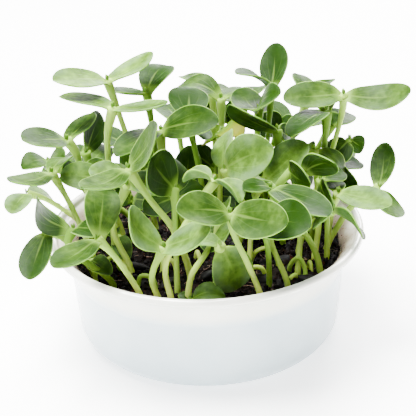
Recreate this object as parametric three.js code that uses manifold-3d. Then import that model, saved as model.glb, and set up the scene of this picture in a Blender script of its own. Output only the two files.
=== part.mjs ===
// A round bowl of sunflower seedlings: a white bowl, filled with dark soil,
// with a thick stand of young shoots that have just opened their two seed leaves.
// Millimetres, +Z up. The origin is the middle of the bowl's flat underside.

import * as THREE from 'three';
import { mergeVertices } from 'three/addons/utils/BufferGeometryUtils.js';
import Module from 'manifold-3d';

const wasm = await Module();
wasm.setup();

// ---------------------------------------------------------------- driving dimensions

const RIM_RADIUS = 66; // outer edge of the lip
const RIM_HEIGHT = 48; // top of the lip above the table
const LIP_INNER_RADIUS = 62.8;
const NECK_RADIUS = 58.1; // outside of the wall where the flare begins
const NECK_HEIGHT = 33;
const WALL_FOOT_RADIUS = 56.3; // outside of the wall just above the rounded foot
const FOOT_ROUND = 8; // radius of the rounded foot
const WALL = 2.4; // thickness of the bowl's wall
const FLOOR = 3; // thickness of the bowl's floor
const BOWL_SIDES = 32;

const GAP = 0.3; // kept between neighbouring solids

const SOIL_HEIGHT = 38; // mean height of the soil's surface
const SOIL_WAVE = 0.9; // how far the surface rises and falls
const HOLE_DEPTH = 9; // how deep a stem stands in the soil
const HOLE_PLAY = 1.3; // space round a stem in its hole
const CLODS = 16; // crumbs of soil that stand out of the surface
const HULLS = 7; // empty seed hulls lying half sunk in the soil
const HULL_SIZE = [5.2, 2.7, 1.9]; // half length, half width, half height of a hull

const STEM_RADIUS = 1.45; // in the middle of a stem
const STEM_FOOT_RADIUS = 1.7;
const STEM_TOP_RADIUS = 2.2; // where the leaf stalks join it
const STEM_SIDES = 4;

const LEAF_THICKNESS = 0.95;
const LEAF_EDGE = 0.6; // thickness at the leaf's edge
const STALK_HALF_WIDTH = 1.7; // half width of a leaf where it leaves the stem
const STALK_THICKNESS = 2.2;
const LEAF_CUP = 0.16; // how far the edges stand up, as a share of the half width
const BUD_LENGTH = 3; // the tip bud that stands between the two leaves
const BUD_RADIUS = 0.6;

// ---------------------------------------------------------------- the seedlings
//
// Each seedling: root [x, y] on the soil, bends [x, y, z] that its stem passes, head [x, y, z]
// where its leaves join, and its leaves. A leaf is [azimuth, rise, roll, length, width, bow]:
// azimuth and rise give the way it points, roll turns it about its own length (all in degrees),
// and bow is how far its middle stands above the straight line to its tip, in percent of length.

const FRONT = [
  { root: [20, -49], bends: [[15, -51, 55], [10, -50, 68]], head: [9, -48, 75],
    leaves: [[-147, 18, 35, 25, 15, 3], [-43, 8, -41, 28, 16, 1]] },
  { root: [-19, -49], bends: [[-21, -51, 49], [-20, -52, 55]], head: [-16, -51, 63],
    leaves: [[-150, 57, 47, 24, 14, -16], [-32, 31, -33, 25, 14, -4]] },
  { root: [-26, -46], bends: [[-32, -47, 53], [-36, -46, 59]], head: [-41, -44, 64],
    leaves: [[87, 28, -17, 26, 14, 12], [-124, 0, 5, 26, 13, -5]] },
  { root: [-38, -34], bends: [[-54, -33, 56]], head: [-52, -33, 63],
    leaves: [[133, 15, 91, 24, 14, 20], [-35, 8, -10, 18, 13, 4]] },
  { root: [-46, -26], bends: [[-57, -25, 55]], head: [-64, -26, 59],
    leaves: [[-105, -29, -9, 24, 14, 0], [20, -8, -60, 10, 8, 4]] },
  { root: [3, -41], bends: [], head: [5, -47, 61],
    leaves: [[30, -70, -95, 23, 17, 6], [150, 0, 0, 12, 9, 6]] },
  { root: [45, -27], bends: [[41, -27, 51], [33, -27, 62]], head: [25, -31, 77],
    leaves: [[-54, 0, -5, 34, 15, 2], [-150, 10, 10, 15, 11, 6]] },
  { root: [24, -38], bends: [[23, -42, 58]], head: [20, -43, 68],
    leaves: [[-45, 15, -40, 26, 18, 6], [120, -25, 15, 18, 12, 6]] },
  { root: [31, -40], bends: [[27, -34, 58], [30, -25, 73]], head: [34, -21, 79],
    leaves: [[-70, 5, -95, 18, 14, 8], [55, -65, -80, 10, 8, 6]] },
  { root: [-14, -51], bends: [[-16, -49, 52], [-14, -48, 59], [-3, -36, 73]], head: [4, -30, 80],
    leaves: [[125, -15, 15, 17, 12, 22], [-65, 0, 20, 19, 12, 15]] },
  { root: [-7, -30], bends: [[-13, -30, 60], [-21, -29, 72]], head: [-29, -29, 86],
    leaves: [[-126, 5, 6, 27, 13, -9], [-36, 54, -51, 27, 14, -6]] },
  { root: [-31, -24], bends: [[-37, -22, 57]], head: [-30.5, -20, 75],
    leaves: [[160, 20, 20, 17, 12, 5], [15, -12, -25, 17, 13, 6]] },
  { root: [-8, -51], bends: [[-6, -49, 50], [0, -42, 56]], head: [6, -37, 66],
    leaves: [[-105, -15, -15, 19, 13, 6], [80, 5, 45, 16, 11, 6]] },
  { root: [-12, -42], bends: [[-12, -32, 63]], head: [-12, -19, 72],
    leaves: [[-130, 55, 85, 22, 18, -10], [90, 15, -50, 20, 12, 8]] },
];

const LEFT = [
  { root: [-22, 12], bends: [[-35, 9, 97]], head: [-38, 8, 109],
    leaves: [[-148, 12, 21, 25, 13, 1], [40, 17, 3, 25, 13, -8]] },
  { root: [-37, -4], bends: [[-38, -8, 91]], head: [-35, -8, 103],
    leaves: [[155, 5, -4, 25, 13, 1], [-17, 10, 0, 24, 12, -7]] },
  { root: [-46, -2], bends: [[-51, -9, 85]], head: [-54, -10, 91],
    leaves: [[-130, 18, 23, 24, 14, 0], [64, 12, 13, 21, 12, -3]] },
  { root: [-46, -18], bends: [[-53, -17, 63], [-57, -13, 70]], head: [-61, -12, 78],
    leaves: [[-126, 13, 5, 24, 13, -9], [70, -5, 15, 20, 12, 10]] },
  { root: [-36, 6], bends: [], head: [-52, 3, 68],
    leaves: [[-110, 25, 55, 20, 14, 8], [45, 0, -40, 17, 13, 8]] },
  { root: [-32, 20], bends: [[-47, 20, 55]], head: [-50.5, 14, 76],
    leaves: [[70, 37, -75, 21, 14, -1], [140, -30, 25, 20, 12, 5]] },
  { root: [-46, 20], bends: [], head: [-67, 18, 70],
    leaves: [[-145, 0, 15, 13, 11, 20], [-50, 25, -40, 16, 11, 5]] },
  { root: [-50, 9], bends: [[-68, 10, 56]], head: [-76, 10, 59],
    leaves: [[-105, -5, 5, 18, 12, 5], [55, -35, -20, 20, 14, 8]] },
  { root: [-20, 24], bends: [], head: [-23, 20, 99],
    leaves: [[59, 21, 0, 19, 15, 16], [162, 4, -10, 17, 12, -8]] },
];

const RIGHT = [
  { root: [17, -24], bends: [[20, -14, 64]], head: [25, -10, 70],
    leaves: [[-10, 45, -50, 25, 15, 6], [-135, 20, 5, 18, 13, 10]] },
  { root: [45, 1], bends: [[50, 7, 74]], head: [51, 7, 93],
    leaves: [[-135, -10, -5, 25, 14, 8], [100, 0, 0, 14, 11, 8]] },
  { root: [32, -4], bends: [], head: [30, -6, 91],
    leaves: [[-160, 35, 150, 26, 14, 6], [50, -40, -60, 12, 10, 8]] },
  { root: [44, -18], bends: [[46, -14, 54]], head: [45, 4, 77],
    leaves: [[10, -60, -30, 22, 14, 22], [115, -25, 25, 12, 10, 8]] },
  { root: [42, 10], bends: [[54, 11, 74], [58, 12, 91]], head: [58, 12, 98],
    leaves: [[-174, 0, 32, 26, 14, 0], [-24, 10, -31, 29, 14, -14]] },
  { root: [50, -10], bends: [[54, -10, 48], [60, -9, 57]], head: [71.2, -8, 64.8],
    leaves: [[75, 38, 19, 22, 11, -6], [-77, -14, 19, 20, 13, -11]] },
  { root: [51, -6], bends: [], head: [53, -12, 65],
    leaves: [[-44, 5, -23, 26, 12, 1], [100, 0, -5, 11, 9, 6]] },
  { root: [36, -30], bends: [[35, -24, 52]], head: [39, -19, 78],
    leaves: [[-50, 25, -125, 19, 13, -12], [70, -70, -95, 12, 10, 6]] },
  { root: [49, -18], bends: [[49, -16, 56]], head: [46, -16, 73],
    leaves: [[-75, -25, -85, 17, 12, 6], [40, -5, -25, 14, 10, 8]] },
  { root: [46, 14], bends: [], head: [56, 14, 65],
    leaves: [[-65, -5, -90, 20, 14, 5], [40, -10, -20, 18, 12, 6]] },
  { root: [38, -12], bends: [], head: [50, -26, 64],
    leaves: [[-60, -15, 55, 20, 12, 10], [135, -45, 40, 14, 11, 8]] },
];

const MIDDLE = [
  { root: [12, -14], bends: [], head: [8, -14, 78],
    leaves: [[-30, 30, -65, 26, 18, 6], [80, 30, 45, 20, 13, 8]] },
  { root: [-8, 0], bends: [[-14, -8, 84]], head: [-17, -10, 94],
    leaves: [[-26, 16, -46, 28, 14, 6], [-130, -5, 5, 27, 13, 6]] },
  { root: [0, 4], bends: [], head: [-6, 2, 94],
    leaves: [[88, 24, -9, 19, 17, 4], [-70, -10, 35, 18, 14, 5]] },
  { root: [6, 12], bends: [], head: [8, 12, 84],
    leaves: [[-55, 10, -25, 16, 12, 20], [130, -35, 40, 14, 11, 10]] },
  { root: [20, 2], bends: [], head: [23, 4, 96],
    leaves: [[110, 10, 0, 20, 14, -14], [-60, 35, -45, 20, 13, 12]] },
  { root: [26, 16], bends: [], head: [28.9, 16, 100],
    leaves: [[79, 48, 21, 22, 13, -3], [-145, 30, 5, 22, 13, 10]] },
  { root: [8, 20], bends: [], head: [8, 20, 96],
    leaves: [[145, 5, 10, 22, 14, 18], [50, -5, 5, 20, 12, 5]] },
];

const REAR = [
  { root: [5, 34], bends: [], head: [5, 36, 92],
    leaves: [[135, 10, -5, 21, 13, 15], [50, -15, -15, 18, 12, 5]] },
  { root: [40, 22], bends: [], head: [55, 20, 82],
    leaves: [[55, 0, -15, 16, 12, 5], [-125, 40, -10, 16, 11, 5]] },
  { root: [34, 32], bends: [], head: [46, 34, 89],
    leaves: [[100, 20, -25, 18, 12, 5], [-55, 40, 10, 20, 12, 5]] },
  { root: [-26, 37], bends: [], head: [-34, 44, 65],
    leaves: [[150, 10, 10, 22, 13, 8], [-40, 15, -10, 20, 12, 8]] },
  { root: [-9, 44], bends: [], head: [-12, 56, 72],
    leaves: [[110, 0, 0, 24, 14, 8], [-60, 20, 5, 22, 14, 8]] },
  { root: [13, 46], bends: [], head: [18, 58, 78],
    leaves: [[65, 5, 10, 23, 14, 8], [-165, 15, 0, 24, 14, 10]] },
  { root: [29, 42], bends: [], head: [40, 55, 68],
    leaves: [[10, 5, -10, 24, 14, 8], [130, 15, 10, 22, 14, 8]] },
  { root: [-42, 29], bends: [], head: [-54, 36, 57],
    leaves: [[170, 0, 10, 21, 13, 10], [60, 15, -10, 21, 13, 8]] },
  { root: [47, 24], bends: [], head: [54, 33, 54],
    leaves: [[45, 10, 0, 21, 13, 8], [-60, 5, 10, 18, 12, 8]] },
];

const SLIDE = [0, 1.9, -0.9]; // one step of leaning a head away to clear its neighbours
const SLIDE_STEPS = 6; // most steps of lean either way
const SWAYS = [0, 2.5, -2.5, 5, -5]; // sideways bends of a stem, in mm

// ---------------------------------------------------------------- small helpers

const vec = ([x, y, z]) => new THREE.Vector3(x, y, z);
const radians = THREE.MathUtils.degToRad;

// Park and Miller's generator, so that every draw is the same on each run.
function drawer(seed) {
  let state = seed;
  return (low, high) => {
    state = (state * 48271) % 2147483647;
    return low + (high - low) * (state / 2147483647);
  };
}

function toSolid(geometry) {
  const bare = geometry.clone();
  bare.deleteAttribute('normal');
  bare.deleteAttribute('uv');
  const merged = mergeVertices(bare, 1e-4);
  return new wasm.Manifold(new wasm.Mesh({
    numProp: 3,
    vertProperties: new Float32Array(merged.attributes.position.array),
    triVerts: new Uint32Array(merged.index.array),
  }));
}

function toGeometry(solid) {
  const mesh = solid.getMesh();
  const geometry = new THREE.BufferGeometry();
  geometry.setAttribute('position', new THREE.BufferAttribute(mesh.vertProperties, 3));
  geometry.setIndex(new THREE.BufferAttribute(mesh.triVerts, 1));
  geometry.computeVertexNormals();
  return geometry;
}

// A closed skin over rings that have equally many points: sides between them, a fan on each end.
function skin(rings) {
  const count = rings[0].length;
  const positions = rings.flat().flatMap((p) => [p.x, p.y, p.z]);
  const faces = [];
  for (let ring = 0; ring + 1 < rings.length; ring += 1) {
    for (let k = 0; k < count; k += 1) {
      const a = ring * count + k;
      const b = ring * count + (k + 1) % count;
      const mirrored = k >= count / 2;
      if (mirrored) faces.push(a, b, a + count, b, b + count, a + count);
      else faces.push(a, b, b + count, a, b + count, a + count);
    }
  }
  const last = (rings.length - 1) * count;
  for (let k = 1; k + 1 < count; k += 1) {
    faces.push(0, k + 1, k);
    faces.push(last, last + k, last + k + 1);
  }
  const geometry = new THREE.BufferGeometry();
  geometry.setAttribute('position', new THREE.Float32BufferAttribute(positions, 3));
  geometry.setIndex(faces);
  return geometry;
}

function arc(centreR, centreZ, radius, fromDegrees, toDegrees, steps) {
  const points = [];
  for (let k = 0; k <= steps; k += 1) {
    const angle = radians(fromDegrees + (toDegrees - fromDegrees) * (k / steps));
    points.push(new THREE.Vector2(centreR + radius * Math.cos(angle), centreZ + radius * Math.sin(angle)));
  }
  return points;
}

// ---------------------------------------------------------------- bowl

const LIP_ROUND = (RIM_RADIUS - LIP_INNER_RADIUS) / 2;
const LIP_MIDDLE = (RIM_RADIUS + LIP_INNER_RADIUS) / 2;
const INNER_FOOT_ROUND = FOOT_ROUND - WALL;

function flare(fromR, fromZ, toR, toZ) {
  const bend = new THREE.Vector2(fromR + 0.12 * (toR - fromR), fromZ + 0.72 * (toZ - fromZ));
  const curve = new THREE.QuadraticBezierCurve(
    new THREE.Vector2(fromR, fromZ), bend, new THREE.Vector2(toR, toZ));
  return curve.getPoints(3);
}

function bowlGeometry() {
  const lipZ = RIM_HEIGHT - LIP_ROUND;
  const profile = [
    new THREE.Vector2(0, 0),
    ...arc(WALL_FOOT_RADIUS - FOOT_ROUND, FOOT_ROUND, FOOT_ROUND, -90, 0, 4),
    ...flare(NECK_RADIUS, NECK_HEIGHT, RIM_RADIUS, lipZ - 0.6),
    ...arc(LIP_MIDDLE, lipZ, LIP_ROUND, 0, 180, 4),
    ...flare(NECK_RADIUS - WALL, NECK_HEIGHT + 1.4, LIP_INNER_RADIUS, lipZ - 0.8).reverse(),
    ...arc(WALL_FOOT_RADIUS - FOOT_ROUND, FLOOR + INNER_FOOT_ROUND, INNER_FOOT_ROUND, 0, -90, 3),
    new THREE.Vector2(0, FLOOR),
  ];
  return new THREE.LatheGeometry(profile, BOWL_SIDES);
}

// ---------------------------------------------------------------- soil

// Radius of the soil at a height below the neck: inside the bowl's wall by the gap, and by as
// much again because the wall is flat from one of its corners to the next.
function soilRadius(z) {
  const foot = WALL_FOOT_RADIUS - WALL;
  const neck = NECK_RADIUS - WALL;
  const share = (z - FOOT_ROUND) / (NECK_HEIGHT - FOOT_ROUND);
  return foot + (neck - foot) * share - 2 * GAP;
}

function soilSurface(x, y) {
  return SOIL_HEIGHT + SOIL_WAVE * Math.sin(x * 0.23 + 1.1) * Math.cos(y * 0.19 - 0.4)
    + 0.5 * SOIL_WAVE * Math.sin(x * 0.51 - y * 0.44);
}

function soilBody() {
  const bottom = FLOOR + GAP;
  const corner = bottom + INNER_FOOT_ROUND;
  const edge = soilRadius(NECK_HEIGHT);
  const profile = [new THREE.Vector2(0, bottom)];
  profile.push(...arc(soilRadius(corner) - INNER_FOOT_ROUND, corner, INNER_FOOT_ROUND, -90, 0, 2));
  profile.push(new THREE.Vector2(edge, NECK_HEIGHT));
  for (const share of [1, 0.82, 0.62, 0.42, 0.22, 0]) {
    profile.push(new THREE.Vector2(edge * share, SOIL_HEIGHT));
  }
  const geometry = new THREE.LatheGeometry(profile, 24);
  const place = geometry.attributes.position;
  for (let k = 0; k < place.count; k += 1) {
    // LatheGeometry turns about Y, so its second coordinate is still the height here.
    if (place.getY(k) > NECK_HEIGHT + 1) {
      place.setY(k, soilSurface(place.getX(k), -place.getZ(k)));
    }
  }
  return geometry.rotateX(Math.PI / 2);
}

function lump(sizes, segments, turn, position) {
  const geometry = segments
    ? new THREE.SphereGeometry(1, segments[0], segments[1])
    : new THREE.OctahedronGeometry(1, 0);
  geometry.scale(...sizes);
  geometry.rotateY(turn[0]);
  geometry.rotateZ(turn[1]);
  geometry.translate(...position);
  return toSolid(geometry);
}

// A place on the soil, well inside its edge.
function placeOnSoil(draw, reach) {
  const angle = draw(0, 2 * Math.PI);
  const radius = reach * Math.sqrt(draw(0, 1));
  return [radius * Math.cos(angle), radius * Math.sin(angle)];
}

function soilSolid(roots) {
  let soil = toSolid(soilBody());
  const draw = drawer(7);
  for (let k = 0; k < CLODS; k += 1) {
    const [x, y] = placeOnSoil(draw, 50);
    const size = draw(1.6, 3.2);
    const turn = [draw(0, 3), draw(0, 3)];
    soil = soil.add(lump([size, size * 0.8, size * 0.7], null, turn, [x, y, soilSurface(x, y)]));
  }
  for (let k = 0; k < HULLS; k += 1) {
    const [x, y] = placeOnSoil(draw, 47);
    const turn = [draw(-0.25, 0.25), draw(0, 3)];
    soil = soil.add(lump(HULL_SIZE, [6, 4], turn, [x, y, soilSurface(x, y) + 0.6]));
  }
  const holeRadius = STEM_FOOT_RADIUS + HOLE_PLAY;
  for (const [x, y] of roots) {
    const hole = new THREE.CylinderGeometry(holeRadius, holeRadius, HOLE_DEPTH + 8, 5);
    hole.rotateX(Math.PI / 2);
    hole.translate(x, y, SOIL_HEIGHT + 4 - HOLE_DEPTH / 2);
    soil = soil.subtract(toSolid(hole));
  }
  const pieces = soil.decompose().sort((a, b) => b.volume() - a.volume());
  return pieces[0];
}

// ---------------------------------------------------------------- one seedling

// The points that a stem passes, from the bottom of its hole to its head.
function stemPath(plan) {
  const [x, y] = plan.root;
  const foot = new THREE.Vector3(x, y, SOIL_HEIGHT - HOLE_DEPTH + 1);
  const ground = new THREE.Vector3(x, y, SOIL_HEIGHT + 1);
  const head = vec(plan.head);
  const bends = plan.bends.map(vec);
  if (bends.length === 0) {
    const elbow = ground.clone().lerp(head, 0.5);
    elbow.x += 0.22 * (x - head.x);
    elbow.y += 0.22 * (y - head.y);
    bends.push(elbow);
  }
  for (const bend of bends) bend.x += plan.sway || 0;
  return new THREE.CatmullRomCurve3([foot, ground, ...bends, head], false, 'centripetal');
}

function stemRadius(share) {
  const low = THREE.MathUtils.lerp(STEM_FOOT_RADIUS, STEM_RADIUS, Math.min(1, share / 0.4));
  const swell = THREE.MathUtils.smoothstep(share, 0.78, 1);
  return low + (STEM_TOP_RADIUS - STEM_RADIUS) * swell;
}

function stemGeometry(plan, margin) {
  const curve = stemPath(plan);
  const steps = plan.bends.length > 1 ? 6 : 5;
  const stations = [];
  for (let k = 0; k <= steps; k += 1) {
    const share = k / steps;
    stations.push([curve.getPointAt(share), curve.getTangentAt(share), stemRadius(share)]);
  }
  // The tip bud goes on upwards from the head.
  const head = vec(plan.head);
  const upwards = new THREE.Vector3(0, 0, 1);
  stations.push([head.clone().addScaledVector(upwards, BUD_LENGTH), upwards, BUD_RADIUS]);
  const rings = stations.map(([centre, along, radius]) => {
    const side = new THREE.Vector3(0, 1, 0).cross(along).normalize();
    const other = along.clone().cross(side);
    const ring = [];
    for (let n = 0; n < STEM_SIDES; n += 1) {
      const angle = 2 * Math.PI * (n / STEM_SIDES);
      ring.push(centre.clone().addScaledVector(side, (radius + margin) * Math.cos(angle))
        .addScaledVector(other, (radius + margin) * Math.sin(angle)));
    }
    return ring;
  });
  return skin(rings);
}

// Share of the full half width at a share of the leaf's length: blunt tip, drawn-in base.
function leafOutline(share) {
  return Math.sqrt(Math.max(0, Math.sin(Math.PI * Math.max(0, share) ** 1.1)));
}

function leafFrame([azimuth, rise, roll]) {
  const a = radians(azimuth);
  const r = radians(rise);
  const along = new THREE.Vector3(Math.cos(a) * Math.cos(r), Math.sin(a) * Math.cos(r), Math.sin(r));
  const level = new THREE.Vector3(Math.sin(a), -Math.cos(a), 0);
  const over = level.clone().cross(along);
  const t = radians(roll);
  const side = level.clone().multiplyScalar(Math.cos(t)).addScaledVector(over, Math.sin(t));
  const up = over.clone().multiplyScalar(Math.cos(t)).addScaledVector(level, -Math.sin(t));
  return { along, side, up };
}

const LEAF_STATIONS = [0.07, 0.19, 0.38, 0.6, 0.82, 0.98];

// Sections of one leaf from its stalk to its tip, each with six corners: three above, three below.
function leafRings(plan, leaf, margin) {
  const [, , , length, width, bow] = leaf;
  const { along, side, up } = leafFrame(leaf);
  return LEAF_STATIONS.map((share) => {
    const stalk = Math.max(0, 1 - share / 0.3) ** 2;
    const half = Math.max(0.5 * width * leafOutline(share), STALK_HALF_WIDTH) + margin;
    const middle = 0.5 * (LEAF_THICKNESS + (STALK_THICKNESS - LEAF_THICKNESS) * stalk) + margin;
    const edge = 0.5 * LEAF_EDGE + margin;
    const lift = length * 0.01 * bow * 4 * share * (1 - share);
    const centre = vec(plan.head).addScaledVector(along, length * share).addScaledVector(up, lift);
    const at = (across, above) => centre.clone()
      .addScaledVector(side, across * half)
      .addScaledVector(up, LEAF_CUP * half * across * across + above);
    return [at(-1, edge), at(0, middle), at(1, edge), at(1, -edge), at(0, -middle), at(-1, -edge)];
  });
}

// Both leaves of a seedling as one strip, from one tip over the head to the other tip.
function leafPair(plan, margin) {
  const [first, second] = plan.leaves.map((leaf) => leafRings(plan, leaf, margin));
  const back = first.reverse().map(([a, b, c, d, e, f]) => [c, b, a, f, e, d]);
  const turned = second.map(([a, b, c, d, e, f]) => [d, e, f, a, b, c]);
  const last = back[back.length - 1];
  const twist = (rings) => rings[0].reduce((sum, point, k) => sum + point.distanceTo(last[k]), 0);
  const onward = twist(second) < twist(turned) ? second : turned;
  return skin([...back, ...onward]);
}

function seedlingSolid(plan, margin) {
  return toSolid(stemGeometry(plan, margin)).add(toSolid(leafPair(plan, margin)));
}

// ---------------------------------------------------------------- a stand of seedlings

function boxesMeet(a, b) {
  for (let k = 0; k < 3; k += 1) {
    if (a.max[k] < b.min[k] || b.max[k] < a.min[k]) return false;
  }
  return true;
}

function touches(solid, others) {
  const box = solid.boundingBox();
  return others.some((other) => boxesMeet(box, other.box) && !solid.intersect(other.solid).isEmpty());
}

function leaned(plan, slide, sway) {
  const head = plan.head.map((value, k) => value + slide * SLIDE[k]);
  return { ...plan, head, sway };
}

// Every lean and sideways bend that a seedling may take, the smallest first.
const LEANS = [];
for (let slide = -SLIDE_STEPS; slide <= SLIDE_STEPS; slide += 1) {
  for (const sway of SWAYS) LEANS.push([slide, sway]);
}
LEANS.sort((a, b) => Math.abs(a[0]) + Math.abs(a[1]) / 2 - Math.abs(b[0]) - Math.abs(b[1]) / 2);

// The smallest lean of a seedling that keeps it clear of all before it.
function standClear(plan, others) {
  for (const [slide, sway] of LEANS) {
    const tried = leaned(plan, slide, sway);
    if (!touches(seedlingSolid(tried, GAP), others)) return tried;
  }
  return null;
}

// ---------------------------------------------------------------- the whole bowl

const group = new THREE.Group();

function addMesh(name, geometry, color, roughness) {
  const material = new THREE.MeshStandardMaterial({ color, roughness, metalness: 0 });
  const mesh = new THREE.Mesh(geometry, material);
  mesh.name = name;
  group.add(mesh);
}

const bowl = bowlGeometry().rotateX(Math.PI / 2);
const plans = [...FRONT, ...LEFT, ...RIGHT, ...MIDDLE, ...REAR];
const soil = soilSolid(plans.map((plan) => plan.root));

addMesh('bowl', toGeometry(toSolid(bowl)), 0xe9efee, 0.25);
addMesh('soil', toGeometry(soil), 0x241c17, 0.95);

const placed = [toSolid(bowl), soil].map((solid) => ({ solid, box: solid.boundingBox() }));
const GREENS = [0x86b26a, 0x78a65c, 0x97bd7c, 0x5f8f3f];
plans.forEach((plan, k) => {
  const clear = standClear(plan, placed);
  if (!clear) throw new Error(`seedling ${k + 1} finds no clear place`);
  const solid = seedlingSolid(clear, 0);
  placed.push({ solid, box: solid.boundingBox() });
  const name = `seedling_${String(k + 1).padStart(2, '0')}`;
  addMesh(name, toGeometry(solid), GREENS[k % GREENS.length], 0.45);
});

export default group;
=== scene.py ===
import math
import random

import bpy
import numpy as np
from mathutils import Matrix, Vector, noise


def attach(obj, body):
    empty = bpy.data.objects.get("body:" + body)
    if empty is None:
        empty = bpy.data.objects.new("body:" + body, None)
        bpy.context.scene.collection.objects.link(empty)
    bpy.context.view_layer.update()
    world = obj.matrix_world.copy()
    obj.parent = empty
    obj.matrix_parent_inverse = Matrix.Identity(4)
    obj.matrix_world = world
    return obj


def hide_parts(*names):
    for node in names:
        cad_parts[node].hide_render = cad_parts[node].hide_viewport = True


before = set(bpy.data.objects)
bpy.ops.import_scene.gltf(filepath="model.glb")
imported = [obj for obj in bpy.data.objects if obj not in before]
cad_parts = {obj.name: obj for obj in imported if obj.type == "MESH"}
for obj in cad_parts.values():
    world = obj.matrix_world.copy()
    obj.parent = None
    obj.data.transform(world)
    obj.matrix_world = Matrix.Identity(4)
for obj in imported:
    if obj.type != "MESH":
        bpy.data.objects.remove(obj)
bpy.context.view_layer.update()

MM = 0.001

# ---------------------------------------------------------------- sizes, in millimetres

RIM_RADIUS = 66
RIM_HEIGHT = 48
LIP_INNER_RADIUS = 62.8
NECK_RADIUS = 58.1
NECK_HEIGHT = 33
NECK_STEP = 0.35  # the flare stands this far out over the body
WALL_FOOT_RADIUS = 56.3
FOOT_ROUND = 8
WALL = 2.4
FLOOR = 3
BOWL_SEGMENTS = 160

SOIL_HEIGHT = 38
SOIL_WAVE = 0.9
SOIL_RADIUS = 55.7
SOIL_SEGMENTS = 144
SOIL_RINGS = 60

# Seed hulls that lie where they show, and how many more lie anywhere behind.
HULLS = ((21.4, -33.4), (-28, -22), (0, -31), (31, -18), (-40, -28), (12, -26), (40, -34), (-16, -35))
MORE_HULLS = 9
HULL_RINGS = 9
HULL_SIDES = 12

HOLE_DEPTH = 9
STEM_FOOT_RADIUS = 1.35
STEM_RADIUS = 1.15
STEM_TOP_RADIUS = 2.0
STEM_SIDES = 14
STEM_RINGS = 34
LATE_STOUTNESS = 0.85
SPROUT_STOUTNESS = 0.8

LEAF_THICKNESS = 0.95
LEAF_EDGE = 0.55
STALK_HALF_WIDTH = 1.7
STALK_THICKNESS = 2.1
LEAF_CUP = 0.16
LEAF_RIPPLE = 0.32
RIPPLES = 7.0  # how fast the ripples of the edge follow each other
STALK_SHARE = 0.3  # the leaf stalk widens into the blade over this share
ROOT_SHARE = 0.16  # and dips into the stem over this share
ROOT_DIP = 1.5
LEAF_RINGS = 28
LEAF_COLUMNS = 10
LEAF_REACH = 0.960  # a leaf's blade ends at this share of its length
LEAN = (0, 1.9, -0.9)  # one step of leaning a head away

SHOOT_SEED = 100
LATE_SEED = 200

# ---------------------------------------------------------------- the seedlings
#
# root (x, y), bends ((x, y, z), ...), head (x, y, z), steps of lean, sway of the bends, and the
# leaves: azimuth, rise and roll in degrees, length, width, bow in percent of the length, and how
# much more than the others it is folded, where it is.

FRONT = (
    ((20, -49), ((15, -51, 55), (10, -50, 68)), (9, -48, 75), 0, 0,
     ((-147, 18, 35, 25, 15, 3), (-43, 8, -41, 28, 16, 1))),
    ((-19, -49), ((-21, -51, 49), (-20, -52, 55)), (-16, -51, 63), 1, 0,
     ((-150, 57, 47, 24, 14, -16), (-32, 31, -33, 25, 14, -4))),
    ((-26, -46), ((-32, -47, 53), (-36, -46, 59)), (-41, -44, 64), 0, 0,
     ((87, 28, -17, 26, 14, 12), (-124, 0, 5, 26, 13, -5))),
    ((-38, -34), ((-54, -33, 56),), (-52, -33, 63), 2, 0,
     ((133, 15, 91, 24, 14, 20), (-35, 8, -10, 18, 13, 4))),
    ((-46, -26), ((-57, -25, 55),), (-64, -26, 59), 3, 0,
     ((-105, -29, -9, 24, 14, 0), (20, -8, -60, 10, 8, 4))),
    ((3, -41), (), (5, -47, 61), 0, 0,
     ((30, -70, -95, 23, 17, 6), (150, 0, 0, 12, 9, 6))),
    ((45, -27), ((41, -27, 51), (33, -27, 62)), (25, -31, 77), 0, 0,
     ((-54, 0, -5, 34, 15, 2), (-150, 10, 10, 13, 10, 6))),
    ((24, -38), ((23, -42, 58),), (20, -43, 68), -2, 0,
     ((-45, 15, -40, 26, 17, 6), (120, -25, 15, 18, 12, 6))),
    ((31, -40), ((27, -34, 58), (30, -25, 73)), (34, -21, 79), 0, -2.5,
     ((-70, 5, -95, 18, 14, 8), (55, -65, -80, 10, 8, 6))),
    ((-14, -51), ((-16, -49, 52), (-14, -48, 59), (-3, -36, 73)), (4, -30, 80), -1, 0,
     ((170, -6, -14, 13, 11, 16, 0.45), (-44, -26, 19, 14, 10.5, 12, 0.45))),
    ((-7, -30), ((-13, -30, 60), (-21, -29, 72)), (-29, -29, 86), 0, 0,
     ((-126, 5, 6, 27, 13, -9), (-36, 54, -51, 27, 14, -6))),
    ((-31, -24), ((-37, -22, 57),), (-30.5, -20, 75), -1, 0,
     ((160, 20, 20, 17, 12, 5), (15, -12, -25, 17, 13, 6))),
    ((-8, -51), ((-6, -49, 50), (0, -42, 56)), (6, -37, 66), 6, 0,
     ((-105, -15, -15, 19, 13, 6), (80, 5, 45, 16, 11, 6))),
    ((-12, -42), ((-12, -32, 63),), (-12, -19, 72), -1, 0,
     ((-130, 55, 85, 22, 18, -10), (90, 15, -50, 20, 12, 8))),
)
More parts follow.
